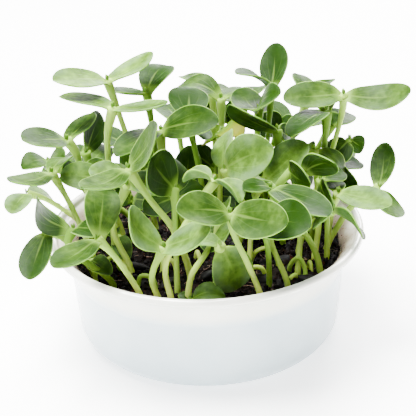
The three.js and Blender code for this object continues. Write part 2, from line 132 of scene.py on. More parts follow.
LEFT = (
    ((-22, 12), ((-35, 9, 97),), (-38, 8, 109), 0, 0,
     ((-148, 12, 21, 25, 13, 1), (40, 17, 3, 25, 13, -8))),
    ((-37, -4), ((-38, -8, 91),), (-35, -8, 103), 0, 0,
     ((155, 5, -4, 25, 13, 1), (-17, 10, 0, 24, 12, -7))),
    ((-46, -2), ((-51, -9, 85),), (-54, -10, 91), 0, 0,
     ((-130, 18, 23, 24, 14, 0), (64, 12, 13, 21, 12, -3))),
    ((-46, -18), ((-53, -17, 63), (-57, -13, 70)), (-61, -12, 78), 0, 0,
     ((-126, 13, 5, 24, 13, -9), (70, -5, 15, 20, 12, 10))),
    ((-36, 6), (), (-52, 3, 68), 3, 0,
     ((-110, 25, 55, 20, 14, 8), (45, 0, -40, 17, 13, 8))),
    ((-32, 20), ((-47, 20, 55),), (-50.5, 14, 76), 2, 0,
     ((70, 37, -75, 21, 14, -1), (140, -30, 25, 20, 12, 5))),
    ((-46, 20), (), (-67, 18, 70), 0, 0,
     ((-145, 0, 15, 13, 11, 20), (-50, 25, -40, 16, 11, 5))),
    ((-50, 9), ((-68, 10, 56),), (-76, 10, 59), 0, 0,
     ((-105, -5, 5, 17.5, 10.8, 5), (55, -35, -20, 20, 14, 8))),
    ((-20, 24), (), (-23, 20, 99), 0, 0,
     ((59, 21, 0, 19, 15, 16), (162, 4, -10, 17, 12, -8))),
)
RIGHT = (
    ((17, -24), ((20, -14, 64),), (25, -10, 70), 2, 0,
     ((-10, 45, -50, 25, 15, 6), (-135, 20, 5, 18, 13, 10))),
    ((45, 1), ((50, 7, 74),), (51, 7, 93), 0, 0,
     ((-135, -10, -5, 25, 14, 8), (100, 0, 0, 14, 11, 8))),
    ((32, -4), (), (30, -6, 91), 3, 0,
     ((-160, 35, 150, 26, 14, 6), (50, -40, -60, 12, 10, 8))),
    ((44, -18), ((46, -14, 54),), (45, 4, 77), -2, 0,
     ((10, -60, -30, 22, 14, 22), (115, -25, 25, 12, 10, 8))),
    ((42, 10), ((54, 11, 74), (58, 12, 91)), (58, 12, 98), -1, 0,
     ((-174, 0, 32, 26, 14, 0), (-24, 10, -31, 29, 14, -14))),
    ((50, -10), ((54, -10, 48), (60, -9, 57)), (71.2, -8, 64.8), 0, 0,
     ((75, 38, 19, 22, 11, -6), (-77, -14, 19, 20, 13, -11))),
    ((51, -6), (), (53, -12, 65), -3, 0,
     ((-44, 5, -23, 26, 12, 1), (100, 0, -5, 11, 9, 6))),
    ((36, -30), ((35, -24, 52),), (39, -19, 78), 0, 2.5,
     ((-50, 25, -125, 19, 13, -12), (70, -70, -95, 12, 10, 6))),
    ((49, -18), ((49, -16, 56),), (46, -16, 73), 0, 0,
     ((-75, -25, -85, 17, 12, 6), (40, -5, -25, 14, 10, 8))),
    ((46, 14), (), (56, 14, 65), 2, 0,
     ((-65, -5, -90, 20, 14, 5), (40, -10, -20, 18, 12, 6))),
    ((38, -12), (), (50, -26, 64), 0, 0,
     ((-60, -15, 55, 20, 12, 10), (135, -45, 40, 14, 11, 8))),
)
MIDDLE = (
    ((12, -14), (), (8, -14, 78), 0, 5,
     ((-30, 30, -65, 26, 18, 6), (80, 30, 45, 20, 13, 8))),
    ((-8, 0), ((-14, -8, 84),), (-17, -10, 94), 3, -2.5,
     ((-26, 16, -46, 28, 14, 6), (-130, -5, 5, 27, 13, 6))),
    ((0, 4), (), (-6, 2, 94), 1, 0,
     ((88, 24, -9, 19, 17, 4), (-70, -10, 35, 18, 14, 5))),
    ((6, 12), (), (8, 12, 84), 2, 0,
     ((-55, 10, -25, 16, 12, 20), (130, -35, 40, 14, 11, 10))),
    ((20, 2), (), (23, 4, 96), 0, 0,
     ((110, 10, 0, 20, 14, -14), (-60, 35, -45, 20, 13, 12))),
    ((26, 16), (), (28.9, 16, 100), 0, 0,
     ((79, 48, 21, 22, 13, -3), (-145, 30, 5, 22, 13, 10))),
    ((8, 20), (), (8, 20, 96), 2, 0,
     ((145, 5, 10, 22, 14, 18), (50, -5, 5, 20, 12, 5))),
)
REAR = (
    ((5, 34), (), (5, 36, 92), 1, 0,
     ((135, 10, -5, 21, 13, 15), (50, -15, -15, 18, 12, 5))),
    ((40, 22), (), (55, 20, 82), 0, 0,
     ((55, 0, -15, 16, 12, 5), (-125, 40, -10, 16, 11, 5))),
    ((34, 32), (), (46, 34, 89), 0, 0,
     ((100, 20, -25, 18, 12, 5), (-55, 40, 10, 20, 12, 5))),
    ((-26, 37), (), (-34, 44, 65), 0, 0,
     ((150, 10, 10, 22, 13, 8), (-40, 15, -10, 20, 12, 8))),
    ((-9, 44), (), (-12, 56, 72), 0, 0,
     ((110, 0, 0, 24, 14, 8), (-60, 20, 5, 22, 14, 8))),
    ((13, 46), (), (18, 58, 78), 0, 0,
     ((65, 5, 10, 23, 14, 8), (-165, 15, 0, 24, 14, 10))),
    ((29, 42), (), (40, 55, 68), 0, 0,
     ((10, 5, -10, 24, 14, 8), (130, 15, 10, 22, 14, 8))),
    ((-42, 29), (), (-54, 36, 57), 0, 0,
     ((170, 0, 10, 21, 13, 10), (60, 15, -10, 21, 13, 8))),
    ((47, 24), (), (54, 33, 54), 0, 0,
     ((45, 10, 0, 21, 13, 8), (-60, 5, 10, 18, 12, 8))),
)

# How pale each seedling is painted, from 0 (deep green) to 9 (pale), in the order of the tables above;
# partly its own green and partly painted light and shade.
TONES = "59502900295972974551480911564833149401204525124252"

YELLOWING = 38  # this one's leaves are turning yellow from the tips
YELLOW_TONE = 2.0

# Late shoots, low down between the others: how pale each is painted, from 0 to 1, partly its own green and
# partly painted light and shade, then as above.
LATE = (
    (0.8, (-3, -50), (), (-7, -53, 40.5), 0, 0,
     ((-2, 6, -15, 14, 10, 25), (130, 15, 0, 6, 6, 10))),
    (0.8, (-38, -16), (), (-39, -16, 76), 0, 0,
     ((-174, 8, 40, 19, 12, 8), (39, -3, -26, 13, 10, 8))),
    (0.2, (-12, 4), (), (-12, 4, 59), 0, 0,
     ((-166, 32, 59, 19, 14, 8), (37, 75, -47, 13, 9, 5))),
    (0.2, (-14, 0), (), (-13, -2, 60), 0, 0,
     ((-143, -6, 30, 16, 12, 6), (18, 8, -37, 14, 12, 6))),
    (0.6, (-33, -26), (), (-37, -8, 46), 0, 0,
     ((-72, -12, -12, 17, 8, 16), (143, 30, 25, 9, 7, 10))),
    (0.6, (-45, -30), (), (-47, -24, 44), 0, 0,
     ((-53, 0, -25, 16, 8, 16), (170, 30, 24, 8, 7, 10))),
    (0.2, (-4, 20), (), (4, 16, 52), 0, 0,
     ((-171, 23, 50, 14, 12, 6), (-19, -1, -38, 13, 12, 6))),
    (0.1, (25, 6), (), (25, 1, 51), 0, 0,
     ((-171, 27, 44, 15, 12, 6), (-9, -4, -39, 13, 12, 6))),
    (0.3, (30, 16), (), (39, 14, 49), 0, 0,
     ((-170, 29, 52, 13, 12, 6), (-20, -6, -37, 12, 11, 6))),
    (0.2, (-30, 16), (), (-32, 14, 53), 0, 0,
     ((-169, 28, 45, 13, 12, 6), (-10, -9, -32, 12, 11, 6))),
    (0.3, (-6, 34), (), (4, 32, 59), 0, 0,
     ((-169, 42, 66, 15, 13, 6), (-19, 21, -50, 14, 13, 6))),
    (0.3, (22, 34), (), (28, 32, 56), 0, 0,
     ((-168, 42, 66, 14, 13, 6), (-20, 31, -56, 14, 13, 6))),
    (0.3, (-22, 34), (), (-26, 32, 60), 0, 0,
     ((-168, 30, 60, 14, 13, 6), (-20, 25, -50, 14, 13, 6))),
    (0.2, (46, 22), (), (63, 22, 74), 0, 0,
     ((-149, -33, 38, 14, 12, 8), (0, -39, -46, 8, 9, 8))),
    (0.4, (2, 44), (), (9, 43, 78), 0, 0,
     ((170, 50, 75, 14, 13, 8), (0, 13, -47, 12, 13, 8))),
    (0.2, (26, 42), (), (33, 38, 72), 0, 0,
     ((-164, 52, 79, 13, 13, 8), (-10, 18, -49, 12, 12, 8))),
    (0.45, (-10, 26), (), (-8, 21, 55), 0, 0,
     ((-37, 82, -123, 21, 12, 6), (165, 10, 20, 12, 10, 6))),
)

# Sprouts that are still bent over or lie on the soil, as the points of their lines.
SPROUTS = (
    ((32.6, -27.5, 35), (33.2, -27.9, 41), (36.3, -29.5, 45), (38.6, -30.7, 41), (38.5, -33.5, 35)),
    ((31.5, -36, 35), (33, -35.3, 39.6), (34.5, -34, 39.8), (35.5, -32.5, 35)),
    ((40.6, -24.1, 35), (41.2, -26, 41), (41.8, -28, 35)),
    ((-5.1, -12.3, 35), (-4, -16, 42), (-1.8, -21, 35)),
    ((14, -31, 35), (16, -32, 42), (21, -33, 43), (24, -32, 35)),
    ((-20, -37, 35), (-22, -38, 43), (-26, -38, 44), (-28, -36, 35)),
    ((-35.5, -21, 35), (-37, -23, 44), (-40, -26, 45), (-42, -28, 35)),
    ((16, -22, 35), (20, -21, 44), (26, -21, 45), (30, -22, 35)),
    ((-12, -26, 35), (-14, -25, 43), (-17, -25, 44), (-19, -26, 35)),
)

# ---------------------------------------------------------------- meshes


def make_mesh(name, points, faces, attributes=None, smooth=True):
    """An object from points in millimetres, with a number at each point for each attribute."""
    mesh = bpy.data.meshes.new(name)
    mesh.from_pydata([tuple(p) for p in np.asarray(points, float) * MM], [], [tuple(f) for f in faces])
    for key, values in (attributes or {}).items():
        layer = mesh.attributes.new(key, "FLOAT", "POINT")
        layer.data.foreach_set("value", np.asarray(values, np.float32))
    mesh.polygons.foreach_set("use_smooth", [smooth] * len(mesh.polygons))
    mesh.update()
    made = bpy.data.objects.new(name, mesh)
    bpy.context.scene.collection.objects.link(made)
    return made


def signed_volume(points, faces):
    """Six times the volume inside faces, below zero when they point inwards."""
    total = 0.0
    for face in faces:
        a = points[face[0]]
        for k in range(1, len(face) - 1):
            total += np.dot(a, np.cross(points[face[k]], points[face[k + 1]]))
    return total


def skin(rings):
    """Points and faces of a closed skin over rings that have equally many points."""
    count = len(rings[0])
    points = np.concatenate(rings)
    faces = []
    for ring in range(len(rings) - 1):
        for k in range(count):
            a = ring * count + k
            b = ring * count + (k + 1) % count
            faces.append((a, b, b + count, a + count))
    last = (len(rings) - 1) * count
    faces.append(tuple(range(count))[::-1])
    faces.append(tuple(last + k for k in range(count)))
    if signed_volume(points, faces) < 0:
        faces = [face[::-1] for face in faces]
    return points, faces


def lathe(profile, segments):
    """A closed turned shape from (radius, height) pairs that begin and end on the axis."""
    points = [(0, 0, profile[0][1]), (0, 0, profile[-1][1])]
    rings = profile[1:-1]
    for radius, height in rings:
        for k in range(segments):
            angle = 2 * math.pi * k / segments
            points.append((radius * math.cos(angle), radius * math.sin(angle), height))
    faces = []
    for k in range(segments):
        n = (k + 1) % segments
        faces.append((0, 2 + n, 2 + k))
        for ring in range(len(rings) - 1):
            a = 2 + ring * segments
            faces.append((a + k, a + n, a + segments + n, a + segments + k))
        top = 2 + (len(rings) - 1) * segments
        faces.append((1, top + k, top + n))
    return points, faces


def arc(centre_r, centre_z, radius, start, end, steps):
    made = []
    for k in range(steps + 1):
        angle = math.radians(start + (end - start) * k / steps)
        made.append((centre_r + radius * math.cos(angle), centre_z + radius * math.sin(angle)))
    return made


def dress(obj, node, material=None):
    """Hands a finished piece over: it rides the part's one body and stands for a node."""
    if material:
        obj.data.materials.clear()
        obj.data.materials.append(material)
    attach(obj, "root")
    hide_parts(node)
    return obj


# ---------------------------------------------------------------- node trees


def node(tree, kind, sockets=None, **settings):
    made = tree.nodes.new(kind)
    for key, value in settings.items():
        setattr(made, key, value)
    for key, value in (sockets or {}).items():
        if isinstance(value, bpy.types.NodeSocket):
            tree.links.new(value, made.inputs[key])
        else:
            made.inputs[key].default_value = value
    return made


def maths(tree, kind, a, b=0.0, clamp=False):
    return node(tree, "ShaderNodeMath", {0: a, 1: b}, operation=kind, use_clamp=clamp).outputs[0]


def times(tree, a, b):
    return maths(tree, "MULTIPLY", a, b)


def plus(tree, a, b, clamp=False):
    return maths(tree, "ADD", a, b, clamp)


def smooth(tree, value, low, high, start=0.0, end=1.0):
    sockets = {"Value": value, "From Min": low, "From Max": high, "To Min": start, "To Max": end}
    return node(tree, "ShaderNodeMapRange", sockets, interpolation_type="SMOOTHSTEP").outputs[0]


def tint(tree, share, first, second):
    made = node(tree, "ShaderNodeMix", {0: share}, data_type="RGBA")
    for index, value in ((6, first), (7, second)):
        if isinstance(value, bpy.types.NodeSocket):
            tree.links.new(value, made.inputs[index])
        else:
            made.inputs[index].default_value = (*value, 1)
    return made.outputs[2]


def reading(tree, name):
    return node(tree, "ShaderNodeAttribute", attribute_name=name).outputs["Fac"]


def grain(tree, scale, detail=3.0, stretch=None, rough=0.5):
    place = node(tree, "ShaderNodeTexCoord").outputs["Object"]
    if stretch:
        place = node(tree, "ShaderNodeMapping", {"Vector": place, "Scale": stretch}).outputs[0]
    sockets = {"Vector": place, "Scale": scale, "Detail": detail, "Roughness": rough}
    return node(tree, "ShaderNodeTexNoise", sockets).outputs["Fac"]


def start_material(name, **finish):
    """A material whose shader has constants set on its own sockets."""
    made = bpy.data.materials.new(name)
    made.use_nodes = True
    tree = made.node_tree
    shader = tree.nodes["Principled BSDF"]
    for key, value in finish.items():
        shader.inputs[key.replace("_", " ")].default_value = value
    return made, tree, shader


def bump(tree, shader, height, strength, distance):
    made = node(tree, "ShaderNodeBump", {"Height": height, "Strength": strength, "Distance": distance})
    tree.links.new(made.outputs[0], shader.inputs["Normal"])


def line_at(tree, value, centre, width):
    """1 where value is centre, falling to 0 at width to either side."""
    away = maths(tree, "ABSOLUTE", maths(tree, "SUBTRACT", value, centre))
    return smooth(tree, away, 0.0, width, 1.0, 0.0)


def white_glaze():
    made, tree, shader = start_material("white_glaze", Roughness=0.16, Coat_Weight=0.4, Coat_Roughness=0.05)
    place = node(tree, "ShaderNodeTexCoord").outputs["Object"]
    height = node(tree, "ShaderNodeSeparateXYZ", {0: place}).outputs[2]
    # Above the neck the glaze is painted paler and warmer: partly the cream of the lip's glaze and partly
    # painted light where the flare faces up to the lamps.
    cream_and_light_share = smooth(tree, height, 0.031, 0.037)
    body = tint(tree, smooth(tree, grain(tree, 45), 0.35, 0.7), (0.35, 0.44, 0.48), (0.41, 0.5, 0.53))
    cream_and_light = tint(tree, smooth(tree, grain(tree, 60), 0.3, 0.7), (0.60, 0.62, 0.54), (0.66, 0.67, 0.60))
    colour = tint(tree, cream_and_light_share, body, cream_and_light)
    # The inside of the wall is painted paler still: painted light on an inner wall that lies in shade.
    inside = reading(tree, "inside")
    colour = tint(tree, inside, colour, (0.74, 0.73, 0.64))
    # Watering has left a brown tide mark and specks on the inside of the wall.
    tide = plus(tree, height, times(tree, grain(tree, 120, 5), 0.008))
    mark = times(tree, inside, smooth(tree, tide, 0.0505, 0.0455))
    specks = smooth(tree, grain(tree, 900, 2), 0.62, 0.7)
    mark = times(tree, mark, plus(tree, 0.6, specks, clamp=True))
    colour = tint(tree, mark, colour, (0.24, 0.09, 0.035))
    tree.links.new(colour, shader.inputs["Base Color"])
    bump(tree, shader, grain(tree, 90, 2), 0.05, 0.0006)
    return made


def damp_soil():
    made, tree, shader = start_material("damp_soil", Roughness=0.8, Specular_IOR_Level=0.04)
    broad = smooth(tree, grain(tree, 160, 4), 0.4, 0.62)
    colour = tint(tree, broad, (0.001, 0.0008, 0.0007), (0.0045, 0.0025, 0.0016))
    rusty = smooth(tree, grain(tree, 520, 2), 0.63, 0.72)
    colour = tint(tree, rusty, colour, (0.03, 0.008, 0.003))
    tree.links.new(colour, shader.inputs["Base Color"])
    tree.links.new(smooth(tree, grain(tree, 700, 3), 0.3, 0.7, 0.5, 0.95), shader.inputs["Roughness"])
    bump(tree, shader, grain(tree, 1500, 4), 0.6, 0.0006)
    return made


def root_fibre():
    made, tree, shader = start_material("root_fibre", Roughness=0.7)
    colour = tint(tree, smooth(tree, grain(tree, 300), 0.35, 0.65), (0.04, 0.02, 0.010), (0.15, 0.09, 0.05))
    tree.links.new(colour, shader.inputs["Base Color"])
    return made


def seed_hull():
    made, tree, shader = start_material("seed_hull", Roughness=0.55, Specular_IOR_Level=0.05)
    across = reading(tree, "across")
    wave = maths(tree, "SINE", times(tree, across, 19.0))
    wave = plus(tree, wave, times(tree, grain(tree, 260, 3), 1.2))
    stripes = smooth(tree, wave, 1.15, 1.6)
    colour = tint(tree, stripes, (0.0015, 0.0015, 0.0015), (0.012, 0.011, 0.010))
    tree.links.new(colour, shader.inputs["Base Color"])
    bump(tree, shader, grain(tree, 700, 3), 0.25, 0.0004)
    return made


def seedling_skin():
    """Stem, leaves and bud: read from the numbers stored at each point."""
    made, tree, shader = start_material(
        "seedling_skin", Subsurface_Weight=0.45, Subsurface_Scale=0.0015,
        Subsurface_Radius=(0.7, 1.0, 0.15), Specular_IOR_Level=0.025)
    along = reading(tree, "along")
    across = reading(tree, "across")
    blade = reading(tree, "blade")
    under = reading(tree, "under")
    rise = reading(tree, "rise")
    # tone: how pale the seedling is painted, partly its own green and partly painted light and shade.
    tone = reading(tree, "tone")
    side = maths(tree, "ABSOLUTE", across)

    mottle = smooth(tree, grain(tree, 110, 4), 0.35, 0.68)
    crinkle = smooth(tree, grain(tree, 430, 3), 0.3, 0.7)
    shade = plus(tree, times(tree, mottle, 0.22), times(tree, crinkle, 0.15))
    shade = plus(tree, shade, times(tree, tone, 0.63), clamp=True)
    shade = maths(tree, "POWER", shade, 3.4)
    upper = tint(tree, shade, (0.005, 0.018, 0.0007), (0.102, 0.198, 0.024))
    # A painted sheen greys the outer parts of the blade in patches, more on the paler seedlings: a painted
    # highlight.
    painted_sheen = times(tree, smooth(tree, side, 0.15, 0.8), smooth(tree, grain(tree, 120, 4), 0.3, 0.65))
    painted_sheen = times(tree, painted_sheen, smooth(tree, tone, 0.5, 1.0, 0.08, 0.55))
    upper = tint(tree, painted_sheen, upper, (0.1, 0.17, 0.074))
    lower = tint(tree, shade, (0.025, 0.065, 0.01), (0.1, 0.18, 0.05))
    green = tint(tree, under, upper, lower)

    # The midrib is broad and pale at the base and is lost before the tip.
    rib_width = smooth(tree, along, 0.02, 0.8, 0.16, 0.02)
    rib = smooth(tree, maths(tree, "DIVIDE", side, rib_width), 0.2, 1.0, 1.0, 0.0)
    rib = times(tree, rib, smooth(tree, along, 0.3, 0.82, 1.0, 0.0))
    # Two pairs of side veins leave the base and bend towards the edge.
    veins = []
    for reach, spread in ((0.8, 0.62), (0.55, 0.9)):
        where = times(tree, maths(tree, "POWER", maths(tree, "DIVIDE", along, reach), 0.75), spread)
        vein = line_at(tree, side, where, 0.055)
        veins.append(times(tree, vein, smooth(tree, along, reach, reach * 0.6)))
    veins = maths(tree, "MAXIMUM", *veins)
    rim = smooth(tree, side, 0.955, 0.995)
    collar = smooth(tree, along, 0.2, 0.05)
    green = tint(tree, times(tree, veins, 0.1), green, (0.07, 0.14, 0.022))
    green = tint(tree, times(tree, rib, 0.32), green, (0.12, 0.21, 0.03))
    green = tint(tree, times(tree, rim, 0.55), green, (0.15, 0.28, 0.045))
    green = tint(tree, times(tree, collar, 0.6), green, (0.12, 0.22, 0.025))

    # A tone past 1 is a leaf that fades and turns yellow from its tip.
    old = smooth(tree, tone, 1.2, 1.8)
    fading = tint(tree, old, green, (0.035, 0.075, 0.003))
    green = tint(tree, times(tree, old, smooth(tree, along, 0.3, 0.8)), fading, (0.088, 0.096, 0.0006))

    # A stem is palest just above the soil and greenest under its leaves.
    deep = tint(tree, smooth(tree, rise, 0.1, 0.8), (0.14, 0.22, 0.03), (0.07, 0.145, 0.012))
    pale = tint(tree, smooth(tree, rise, 0.1, 0.8), (0.43, 0.54, 0.1), (0.22, 0.35, 0.05))
    # The tone picks between the darker and the paler stem colours: partly the stem's own green and partly
    # painted shade and painted light.
    stalk = tint(tree, smooth(tree, tone, 0.0, 0.7), deep, pale)
    streak = grain(tree, 160, 3, stretch=(1, 1, 0.08))
    stalk = tint(tree, smooth(tree, streak, 0.42, 0.62, 0.0, 0.3), stalk, (0.09, 0.18, 0.02))
    colour = tint(tree, blade, stalk, green)
    tree.links.new(colour, shader.inputs["Base Color"])

    rough = smooth(tree, under, 0.0, 1.0, 0.42, 0.6)
    rough = plus(tree, rough, smooth(tree, grain(tree, 500, 2), 0.3, 0.7, -0.05, 0.05))
    tree.links.new(rough, shader.inputs["Roughness"])
    height = plus(tree, times(tree, grain(tree, 420, 4), 0.8),
                    times(tree, plus(tree, veins, rib), -0.25))
    bump(tree, shader, height, 0.5, 0.0004)
    return made


def pale_floor():
    made, tree, shader = start_material("pale_floor", Roughness=0.7, Emission_Strength=2.4)
    colour = tint(tree, smooth(tree, grain(tree, 3), 0.3, 0.7), (0.93, 0.93, 0.93), (0.95, 0.95, 0.95))
    tree.links.new(colour, shader.inputs["Base Color"])
    shader.inputs["Emission Color"].default_value = (1, 1, 1, 1)
    return made


# ---------------------------------------------------------------- geometry trees


def start_tree(name, **sizes):
    """An empty geometry tree with named number inputs: whole numbers become whole-number sockets."""
    tree = bpy.data.node_groups.new(name, "GeometryNodeTree")
    tree.interface.new_socket(name="Geometry", in_out="INPUT", socket_type="NodeSocketGeometry")
    tree.interface.new_socket(name="Geometry", in_out="OUTPUT", socket_type="NodeSocketGeometry")
    for key, value in sizes.items():
        kind = "NodeSocketInt" if isinstance(value, int) else "NodeSocketFloat"
        socket = tree.interface.new_socket(name=key.replace("_", " "), in_out="INPUT", socket_type=kind)
        socket.default_value = value
    return tree, tree.nodes.new("NodeGroupInput").outputs, tree.nodes.new("NodeGroupOutput").inputs


def grow(obj, tree, name, **sizes):
    """The plain mesh that a geometry tree makes of obj. obj itself is removed."""
    modifier = obj.modifiers.new(tree.name, "NODES")
    modifier.node_group = tree
    sockets = {item.name: item.identifier for item in tree.interface.items_tree if item.in_out == "INPUT"}
    for key, value in sizes.items():
        modifier[sockets[key.replace("_", " ")]] = value
    bpy.context.view_layer.update()
    evaluated = obj.evaluated_get(bpy.context.evaluated_depsgraph_get())
    mesh = bpy.data.meshes.new_from_object(evaluated)
    obj.modifiers.remove(modifier)
    bpy.data.objects.remove(obj)
    mesh.name = name
    made = bpy.data.objects.new(name, mesh)
    bpy.context.scene.collection.objects.link(made)
    return made


def end_tree(tree, geometry, material, output):
    made = node(tree, "GeometryNodeRealizeInstances", {0: geometry})
    made = node(tree, "GeometryNodeSetMaterial", {0: made.outputs[0], "Material": material})
    tree.links.new(made.outputs[0], output)


def stem_tree(material):
    """A stem along a curve: thicker at the foot, and opening like a funnel under the leaves."""
    tree, sizes, output = start_tree(
        "stem_sweep", Foot=0.0017, Middle=0.00145, Top=0.0021, Funnel=0.78, Sides=14, Rings=34)
    curve = node(tree, "GeometryNodeResampleCurve", {0: sizes["Geometry"], "Count": sizes["Rings"]})
    share = node(tree, "GeometryNodeSplineParameter").outputs["Factor"]
    foot = node(tree, "ShaderNodeMapRange", {
        "Value": share, "From Max": 0.4, "To Min": sizes["Foot"], "To Max": sizes["Middle"]}).outputs[0]
    opening = maths(tree, "SUBTRACT", sizes["Top"], sizes["Middle"])
    swell = smooth(tree, share, sizes["Funnel"], 1.0, 0.0, opening)
    radius = plus(tree, foot, swell)
    marked = node(tree, "GeometryNodeStoreNamedAttribute", {
        0: curve.outputs[0], "Name": "rise", "Value": share}, data_type="FLOAT", domain="POINT")
    ring = node(tree, "GeometryNodeCurvePrimitiveCircle", {"Resolution": sizes["Sides"], "Radius": 1.0})
    swept = node(tree, "GeometryNodeCurveToMesh", {
        "Curve": marked.outputs[0], "Profile Curve": ring.outputs[0], "Scale": radius, "Fill Caps": True})
    end_tree(tree, swept.outputs[0], material, output["Geometry"])
    return tree


def crumb_tree(material, facets):
    """Lumps of soil scattered over a surface, each turned, squashed and knocked out of round."""
    tree, sizes, output = start_tree(
        f"soil_crumbs_{facets}", Density=100000.0, Smallest=0.0004, Largest=0.001, Seed=1)
    points = node(tree, "GeometryNodeDistributePointsOnFaces", {
        "Mesh": sizes["Geometry"], "Density": sizes["Density"], "Seed": sizes["Seed"]})
    size = node(tree, "FunctionNodeRandomValue", {
        2: sizes["Smallest"], 3: sizes["Largest"], "Seed": sizes["Seed"]})
    squash = node(tree, "FunctionNodeRandomValue", {
        0: (0.7, 0.7, 0.5), 1: (1.3, 1.1, 0.9), "Seed": sizes["Seed"]}, data_type="FLOAT_VECTOR")
    turn = node(tree, "FunctionNodeRandomValue", {
        0: (0, 0, 0), 1: (6.283, 6.283, 6.283), "Seed": sizes["Seed"]}, data_type="FLOAT_VECTOR")
    scale = node(tree, "ShaderNodeVectorMath", {
        0: squash.outputs[0], "Scale": size.outputs[1]}, operation="SCALE")
    lump = node(tree, "GeometryNodeMeshIcoSphere", {"Radius": 1.0, "Subdivisions": facets})
    placed = node(tree, "GeometryNodeInstanceOnPoints", {
        "Points": points.outputs[0], "Instance": lump.outputs[0], "Rotation": turn.outputs[0],
        "Scale": scale.outputs[0]})
    real = node(tree, "GeometryNodeRealizeInstances", {0: placed.outputs[0]})
    rough = node(tree, "ShaderNodeTexNoise", {"Scale": 700.0, "Detail": 1.0})
    knock = node(tree, "ShaderNodeVectorMath", {
        0: rough.outputs["Color"], 1: (0.5, 0.5, 0.5)}, operation="SUBTRACT")
    knock = node(tree, "ShaderNodeVectorMath", {0: knock.outputs[0], "Scale": 0.0016}, operation="SCALE")
    moved = node(tree, "GeometryNodeSetPosition", {0: real.outputs[0], "Offset": knock.outputs[0]})
    flat = node(tree, "GeometryNodeSetShadeSmooth", {0: moved.outputs[0], "Shade Smooth": facets > 1})
    end_tree(tree, flat.outputs[0], material, output["Geometry"])
    return tree


def fibre_tree(material):
    """Short bent root fibres lying about on a surface."""
    tree, sizes, output = start_tree("root_fibres", Density=20000.0, Length=0.006, Thickness=0.00012, Seed=1)
    points = node(tree, "GeometryNodeDistributePointsOnFaces", {
        "Mesh": sizes["Geometry"], "Density": sizes["Density"], "Seed": sizes["Seed"]})
    strand = node(tree, "GeometryNodeCurveQuadraticBezier", {
        "Resolution": 6, "Start": (-0.5, 0, 0), "Middle": (0, 0.35, 0.12), "End": (0.5, 0, 0)})
    scale = node(tree, "FunctionNodeRandomValue", {2: 0.5, 3: 1.3, "Seed": sizes["Seed"]})
    scale = times(tree, scale.outputs[1], sizes["Length"])
    turn = node(tree, "FunctionNodeRandomValue", {
        0: (-0.25, -0.25, 0), 1: (0.25, 0.25, 6.283), "Seed": sizes["Seed"]}, data_type="FLOAT_VECTOR")
    placed = node(tree, "GeometryNodeInstanceOnPoints", {
        "Points": points.outputs[0], "Instance": strand.outputs[0], "Rotation": turn.outputs[0],
        "Scale": scale})
    real = node(tree, "GeometryNodeRealizeInstances", {0: placed.outputs[0]})
    ring = node(tree, "GeometryNodeCurvePrimitiveCircle", {"Resolution": 4, "Radius": 1.0})
    swept = node(tree, "GeometryNodeCurveToMesh", {
        "Curve": real.outputs[0], "Profile Curve": ring.outputs[0], "Scale": sizes["Thickness"],
        "Fill Caps": True})
    end_tree(tree, swept.outputs[0], material, output["Geometry"])
    return tree


# ---------------------------------------------------------------- bowl


def flare(start_r, start_z, end_r, end_z, steps):
    """The outward sweep of the wall from the neck to the lip."""
    bend = (start_r + 0.12 * (end_r - start_r), start_z + 0.72 * (end_z - start_z))
    made = []
    for k in range(steps + 1):
        t = k / steps
        made.append(tuple(
            (1 - t) ** 2 * a + 2 * t * (1 - t) * b + t * t * c
            for a, b, c in zip((start_r, start_z), bend, (end_r, end_z))))
    return made


def make_bowl(material):
    lip_round = (RIM_RADIUS - LIP_INNER_RADIUS) / 2
    lip_middle = (RIM_RADIUS + LIP_INNER_RADIUS) / 2
    lip_z = RIM_HEIGHT - lip_round
    foot_r = WALL_FOOT_RADIUS - FOOT_ROUND
    inner_round = FOOT_ROUND - WALL
    profile = [(0, 0), (foot_r * 0.5, 0), (foot_r - 1, 0)]
    profile += arc(foot_r, FOOT_ROUND, FOOT_ROUND, -90, 0, 14)
    profile += [(57.2, 20), (57.85, NECK_HEIGHT - 1.6), (57.95, NECK_HEIGHT - 0.6)]
    profile += flare(NECK_RADIUS + NECK_STEP, NECK_HEIGHT + 0.3, RIM_RADIUS - 0.05, lip_z - 0.6, 16)
    profile += arc(lip_middle, lip_z, lip_round, 0, 180, 14)
    profile += flare(NECK_RADIUS - WALL, NECK_HEIGHT + 1.4, LIP_INNER_RADIUS, lip_z - 0.8, 14)[::-1]
    profile += arc(foot_r, FLOOR + inner_round, inner_round, 0, -90, 8)
    profile += [(0, FLOOR)]
    points, faces = lathe(profile, BOWL_SEGMENTS)
    # Rings past the lip are on the inside of the wall.
    crest = max(range(len(profile)), key=lambda k: profile[k][1])
    rings = [float(k > crest) for k in range(1, len(profile) - 1)]
    inside = [0.0, 1.0, *(value for value in rings for _ in range(BOWL_SEGMENTS))]
    return dress(make_mesh("white_bowl", points, faces, {"inside": inside}), "bowl", material)


# ---------------------------------------------------------------- soil


def soil_surface(x, y):
    swell = SOIL_WAVE * math.sin(x * 0.23 + 1.1) * math.cos(y * 0.19 - 0.4)
    return SOIL_HEIGHT + swell + 0.5 * SOIL_WAVE * math.sin(x * 0.51 - y * 0.44)


def rough_surface(x, y):
    lumps = noise.fractal(Vector((x, y, 0)) * 0.35, 0.8, 2.1, 4)
    return soil_surface(x, y) + 0.9 * lumps


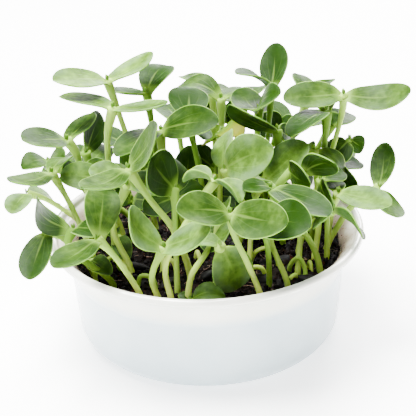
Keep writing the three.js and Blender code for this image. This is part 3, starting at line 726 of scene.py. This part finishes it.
def make_soil(material, fibre):
    inner_round = FOOT_ROUND - WALL
    bottom = FLOOR + 0.3
    corner = bottom + inner_round
    profile = [(0, bottom)]
    profile += arc(WALL_FOOT_RADIUS - FOOT_ROUND - 0.4, corner, inner_round, -90, 0, 4)
    profile += [(55.2, NECK_HEIGHT), (SOIL_RADIUS - 0.2, SOIL_HEIGHT - 2)]
    skirt = len(profile) - 1
    profile += [(SOIL_RADIUS * (1 - k / SOIL_RINGS), SOIL_HEIGHT) for k in range(SOIL_RINGS + 1)]
    points, faces = lathe(profile, SOIL_SEGMENTS)
    points = np.array(points, float)
    top = 2 + skirt * SOIL_SEGMENTS
    for k in [1, *range(top, len(points))]:
        points[k, 2] = rough_surface(points[k, 0], points[k, 1])
    bed = make_mesh("soil_bed", points, faces)
    crust = [face for face in faces if all(k == 1 or k >= top for k in face)]

    def surface():
        return make_mesh("soil_crust", points, crust)

    clods = grow(surface(), crumb_tree(material, 2), "soil_clods",
                 Density=32000.0, Smallest=0.0010, Largest=0.0024, Seed=4)
    crumbs = grow(surface(), crumb_tree(material, 1), "soil_crumbs",
                  Density=330000.0, Smallest=0.0003, Largest=0.0010, Seed=9)
    fibres = grow(surface(), fibre_tree(fibre), "root_fibres",
                  Density=26000.0, Length=0.006, Thickness=0.00013, Seed=3)
    dress(bed, "soil", material)
    for piece in (clods, crumbs, fibres):
        dress(piece, "soil")


def hull_shell(length, width, height):
    """Rings of one empty sunflower seed hull, pointed at one end, lying along x."""
    rings = []
    for k in range(HULL_RINGS):
        share = 0.02 + 0.96 * k / (HULL_RINGS - 1)
        swell = math.sin(math.pi * share ** 0.75) ** 0.8
        ring = []
        for n in range(HULL_SIDES):
            angle = 2 * math.pi * n / HULL_SIDES
            ring.append((length * (share - 0.5), 0.5 * width * swell * math.cos(angle),
                         0.5 * height * swell * math.sin(angle)))
        rings.append(np.array(ring))
    return rings


def make_hulls(material):
    draw = random.Random(12)
    spots = [*HULLS, *((draw.uniform(-38, 38), draw.uniform(-10, 40)) for _ in range(MORE_HULLS))]
    angles = [2 * math.pi * n / HULL_SIDES for n in range(HULL_SIDES)]
    ridges = [math.sin(angle) + math.cos(angle) for angle in angles]
    points, faces, across = [], [], []
    for x, y in spots:
        rings = hull_shell(draw.uniform(9.5, 12), draw.uniform(5, 6.2), draw.uniform(2.8, 3.6))
        turn = Matrix.Rotation(draw.uniform(0, 2 * math.pi), 3, "Z")
        turn = turn @ Matrix.Rotation(draw.uniform(-0.5, 0.3), 3, "Y")
        turn = np.array(turn @ Matrix.Rotation(draw.uniform(-0.5, 0.5), 3, "X"))
        shift = np.array((x, y, rough_surface(x, y) + draw.uniform(0.4, 1.2)))
        shell, quads = skin([ring @ turn.T + shift for ring in rings])
        faces += [tuple(k + len(points) for k in quad) for quad in quads]
        points += list(shell)
        across += ridges * HULL_RINGS
    hulls = make_mesh("seed_hulls", points, faces, {"across": across})
    dress(hulls, "soil", material)


# ---------------------------------------------------------------- seedlings


def spline(points, steps=24):
    """A centripetal curve through points, as evenly dense points on it."""
    points = [np.array(p, float) for p in points]
    points = [2 * points[0] - points[1], *points, 2 * points[-1] - points[-2]]
    made = []
    for k in range(1, len(points) - 2):
        a, b, c, d = points[k - 1:k + 3]
        ab, bc, cd = (math.sqrt(np.linalg.norm(q - p)) for p, q in ((a, b), (b, c), (c, d)))
        start = ((b - a) / ab - (c - a) / (ab + bc) + (c - b) / bc) * bc
        end = ((c - b) / bc - (d - b) / (bc + cd) + (d - c) / cd) * bc
        for t in np.linspace(0, 1, steps, endpoint=False):
            made.append((2 * t ** 3 - 3 * t ** 2 + 1) * b + (t ** 3 - 2 * t ** 2 + t) * start
                        + (-2 * t ** 3 + 3 * t ** 2) * c + (t ** 3 - t ** 2) * end)
    made.append(points[-2])
    return np.array(made)


def stem_path(root, bends, head, sway):
    x, y = root
    foot = (x, y, SOIL_HEIGHT - HOLE_DEPTH + 1)
    ground = (x, y, SOIL_HEIGHT + 1)
    bends = [list(bend) for bend in bends]
    if not bends:
        elbow = [0.5 * (g + h) for g, h in zip(ground, head)]
        elbow[0] += 0.22 * (x - head[0])
        elbow[1] += 0.22 * (y - head[1])
        bends = [elbow]
    for bend in bends:
        bend[0] += sway
    return spline([foot, ground, *bends, head])


def make_stem(path, tree, stoutness=1.0):
    curve = bpy.data.curves.new("stem_line", "CURVE")
    curve.dimensions = "3D"
    line = curve.splines.new("POLY")
    line.points.add(len(path) - 1)
    line.points.foreach_set("co", np.column_stack([path * MM, np.ones(len(path))]).ravel())
    obj = bpy.data.objects.new("stem_line", curve)
    bpy.context.scene.collection.objects.link(obj)
    thick = MM * stoutness
    made = grow(obj, tree, "stem", Foot=STEM_FOOT_RADIUS * thick, Middle=STEM_RADIUS * thick,
                Top=STEM_TOP_RADIUS * thick, Sides=STEM_SIDES, Rings=STEM_RINGS)
    mesh = made.data
    points = np.array([v.co for v in mesh.vertices]) / MM
    rise = np.zeros(len(points), np.float32)
    mesh.attributes["rise"].data.foreach_get("value", rise)
    faces = [tuple(p.vertices) for p in mesh.polygons]
    if signed_volume(points, faces) < 0:
        faces = [face[::-1] for face in faces]
    bpy.data.objects.remove(made)
    return points, faces, rise


def leaf_outline(share):
    """Share of the full half width: drawn in at the base, blunt at the tip."""
    return math.sqrt(max(0.0, math.sin(math.pi * max(0.0, min(1.0, share)) ** 1.1)))


def leaf_frame(azimuth, rise, roll):
    a, r, t = (math.radians(v) for v in (azimuth, rise, roll))
    along = np.array((math.cos(a) * math.cos(r), math.sin(a) * math.cos(r), math.sin(r)))
    level = np.array((math.sin(a), -math.cos(a), 0.0))
    over = np.cross(level, along)
    return along, math.cos(t) * level + math.sin(t) * over, math.cos(t) * over - math.sin(t) * level


def make_leaf(head, down, leaf, draw):
    """One seed leaf as a closed blade: points, faces, and how far along, across and under each is."""
    azimuth, rise, roll, length, width, bow, *fold = leaf
    cup = LEAF_CUP + sum(fold)
    along, side, up = leaf_frame(azimuth, rise, roll)
    waves = [(draw.uniform(0, 6.28), draw.uniform(0.5, 1.0)) for _ in range(2)]
    lopsided = draw.uniform(-0.05, 0.05)
    sweep = draw.uniform(-0.025, 0.025) * length
    columns = [math.sin(0.5 * math.pi * (2 * k / LEAF_COLUMNS - 1)) for k in range(LEAF_COLUMNS + 1)]
    rings, marks = [], []
    for n in range(LEAF_RINGS):
        run = n / (LEAF_RINGS - 1)
        share = 1 - (1 - run) ** 1.7
        blade_share = LEAF_REACH * share
        stalk = max(0.0, 1 - blade_share / STALK_SHARE) ** 2
        outline = leaf_outline(min(share * 0.996, 0.996))
        half = max(0.5 * width * outline, STALK_HALF_WIDTH * min(1, 0.6 + 4 * (1 - share)))
        if share > 0.9:
            half = 0.5 * width * outline
        lift = length * 0.01 * bow * 4 * blade_share * (1 - blade_share)
        root_dip = max(0.0, 1 - blade_share / ROOT_SHARE) ** 2
        centre = head + along * length * blade_share + up * lift + down * ROOT_DIP * root_dip
        centre = centre + side * sweep * math.sin(math.pi * share)
        fade = min(1.0, 1.15 * outline)
        ring, mark = [], []

        def point(v, above, under, out=0.0):
            wave = waves[0 if v < 0 else 1]
            ripple = LEAF_RIPPLE * wave[1] * abs(v) ** 2.5 * math.sin(RIPPLES * blade_share + wave[0]) * fade
            reach = v * half * (1 + lopsided * np.sign(v)) + out
            groove = math.exp(-(v / 0.1) ** 2) * (1 - share) * (0.2 if under < 0.5 else 0.3)
            ring.append(centre + side * reach + up * (cup * half * v * v + above + ripple - groove))
            mark.append((blade_share, v, under))

        middle = 0.5 * (LEAF_THICKNESS + (STALK_THICKNESS - LEAF_THICKNESS) * stalk)
        thin = min(1.0, 0.35 + outline)
        edge = 0.5 * LEAF_EDGE * thin
        for v in columns:
            point(v, (edge + (middle * thin - edge) * math.sqrt(1 - v * v)), 0.0)
        point(1, 0.0, 0.5, 0.45 * edge)
        for v in columns[::-1]:
            point(v, -(edge + (middle * thin - edge) * math.sqrt(1 - v * v)), 1.0)
        point(-1, 0.0, 0.5, -0.45 * edge)
        rings.append(np.array(ring))
        marks += mark
    points, faces = skin(rings)
    return points, faces, np.array(marks).T


def make_bud(head, azimuth):
    """The two tiny tip leaves that stand folded between the seed leaves."""
    points, faces = [], []
    for turn in (0, math.pi):
        way = np.array((math.cos(azimuth + turn), math.sin(azimuth + turn), 0.0))
        across = np.array((-way[1], way[0], 0.0))
        rings = []
        for k in range(6):
            share = k / 5
            swell = math.sin(math.pi * (0.16 + 0.8 * share)) ** 0.7
            centre = head + way * (0.4 + 0.25 * share * share) + np.array((0, 0, 0.3 + 2.2 * share))
            ring = [centre + across * 0.7 * swell * math.cos(a) + way * 0.35 * swell * math.sin(a)
                    for a in np.linspace(0, 2 * math.pi, 8, endpoint=False)]
            rings.append(np.array(ring))
        shell, quads = skin(rings)
        faces += [tuple(k + len(points) for k in quad) for quad in quads]
        points += list(shell)
    return np.array(points), faces


SKIN_NUMBERS = ("along", "across", "under", "blade", "rise", "tone")


def join_shells(shells):
    """Points, faces and numbers of several closed shells as one."""
    points, faces = [], []
    for some, quads, _ in shells:
        faces += [tuple(k + len(points) for k in quad) for quad in quads]
        points += list(some)
    joined = {key: np.concatenate([numbers[key] for *_, numbers in shells]) for key in SKIN_NUMBERS}
    return points, faces, joined


def numbered(points, faces, **numbers):
    """A shell with every number that the seedlings' material reads."""
    given = dict.fromkeys(SKIN_NUMBERS, 0.0) | numbers
    return points, faces, {key: np.broadcast_to(value, len(points)) for key, value in given.items()}


def seedling_shells(plan, tone, tree, draw, stoutness=1.0):
    root, bends, head, lean, sway, leaves = plan
    head = np.array(head, float) + lean * np.array(LEAN)
    path = stem_path(root, bends, tuple(head), sway)
    down = path[-4] - path[-1]
    down = down / np.linalg.norm(down)
    points, faces, rise = make_stem(path, tree, stoutness * draw.uniform(0.93, 1.1))
    shells = [numbered(points, faces, rise=rise, tone=tone)]
    for leaf in leaves:
        points, faces, (along, across, under) = make_leaf(head, down, leaf, draw)
        shells.append(numbered(points, faces, along=along, across=across, under=under,
                               blade=np.clip(along / 0.1, 0, 1), rise=1.0, tone=tone))
    # The bud is painted pale: painted light on tiny leaves that sit in the shade between the seed leaves.
    points, faces = make_bud(head, math.radians(leaves[0][0] + 90))
    shells.append(numbered(points, faces, along=0.1, across=0.5, blade=1.0, rise=1.0, tone=0.95))
    return shells


def make_seedlings(material):
    tree = stem_tree(material)
    plans = [*FRONT, *LEFT, *RIGHT, *MIDDLE, *REAR]
    for k, plan in enumerate(plans):
        tone = YELLOW_TONE if k + 1 == YELLOWING else int(TONES[k]) / 9
        shells = seedling_shells(plan, tone, tree, random.Random(SHOOT_SEED + k))
        made = make_mesh(f"shoot_{k + 1:02d}", *join_shells(shells))
        dress(made, f"seedling_{k + 1:02d}", material)
    late = []
    for k, (tone, *plan) in enumerate(LATE):
        late += seedling_shells(plan, tone, tree, random.Random(LATE_SEED + k), LATE_STOUTNESS)
    for k, line in enumerate(SPROUTS):
        points, faces, rise = make_stem(spline(line), tree, SPROUT_STOUTNESS)
        late.append(numbered(points, faces, rise=0.5 * rise, tone=0.2 * k % 1))
    dress(make_mesh("late_shoots", *join_shells(late)), "soil", material)


# ---------------------------------------------------------------- camera, light and floor

CAMERA_DISTANCE = 0.42
CAMERA_ELEVATION = 25.7
CAMERA_ROLL = -1.96
CAMERA_AIM = (0.00093, 0.0, 0.0542)
CAMERA_LENS = 86.48


def make_camera():
    elevation = math.radians(CAMERA_ELEVATION)
    back = Vector((0, -math.cos(elevation), math.sin(elevation)))
    level = Vector((1, 0, 0))
    upright = back.cross(level)
    roll = math.radians(CAMERA_ROLL)
    right = math.cos(roll) * level + math.sin(roll) * upright
    up = math.cos(roll) * upright - math.sin(roll) * level
    data = bpy.data.cameras.new("studio_camera")
    data.lens = CAMERA_LENS
    data.sensor_width = 36
    camera = bpy.data.objects.new("studio_camera", data)
    turn = Matrix((right, up, back)).transposed().to_4x4()
    camera.matrix_world = Matrix.Translation(Vector(CAMERA_AIM) + back * CAMERA_DISTANCE) @ turn
    bpy.context.scene.collection.objects.link(camera)
    bpy.context.scene.camera = camera


def make_light(name, place, aim, size, power, colour=(1, 1, 1)):
    data = bpy.data.lights.new(name, "AREA")
    data.shape = "DISK"
    data.size = size
    data.energy = power
    data.color = colour
    lamp = bpy.data.objects.new(name, data)
    lamp.location = place
    lamp.rotation_euler = (Vector(aim) - Vector(place)).to_track_quat("-Z", "Y").to_euler()
    bpy.context.scene.collection.objects.link(lamp)


def make_studio():
    world = bpy.data.worlds.new("soft_studio")
    world.use_nodes = True
    world.node_tree.nodes["Background"].inputs["Color"].default_value = (0.95, 0.98, 1.0, 1)
    world.node_tree.nodes["Background"].inputs["Strength"].default_value = 0.35
    bpy.context.scene.world = world
    make_light("top_light", (-0.3, 0.12, 1.25), (0, 0, 0.06), 0.9, 198, (1.0, 0.995, 0.97))
    make_light("back_light", (0.35, 1.25, 0.85), (0.1, 0, 0.06), 0.9, 90, (1.0, 1.0, 1.0))
    make_light("front_light", (-0.6, -1.2, 0.5), (0, 0, 0.05), 0.8, 16, (0.95, 0.98, 1.0))
    floor = make_mesh("pale_floor", [(-4000, -4000, 0), (4000, -4000, 0), (4000, 4000, 0), (-4000, 4000, 0)],
                      [(0, 1, 2, 3)])
    floor.data.materials.append(pale_floor())


# ---------------------------------------------------------------- the whole bowl

make_camera()
make_studio()
make_bowl(white_glaze())
make_soil(damp_soil(), root_fibre())
make_hulls(seed_hull())
make_seedlings(seedling_skin())

bpy.context.view_layer.update()
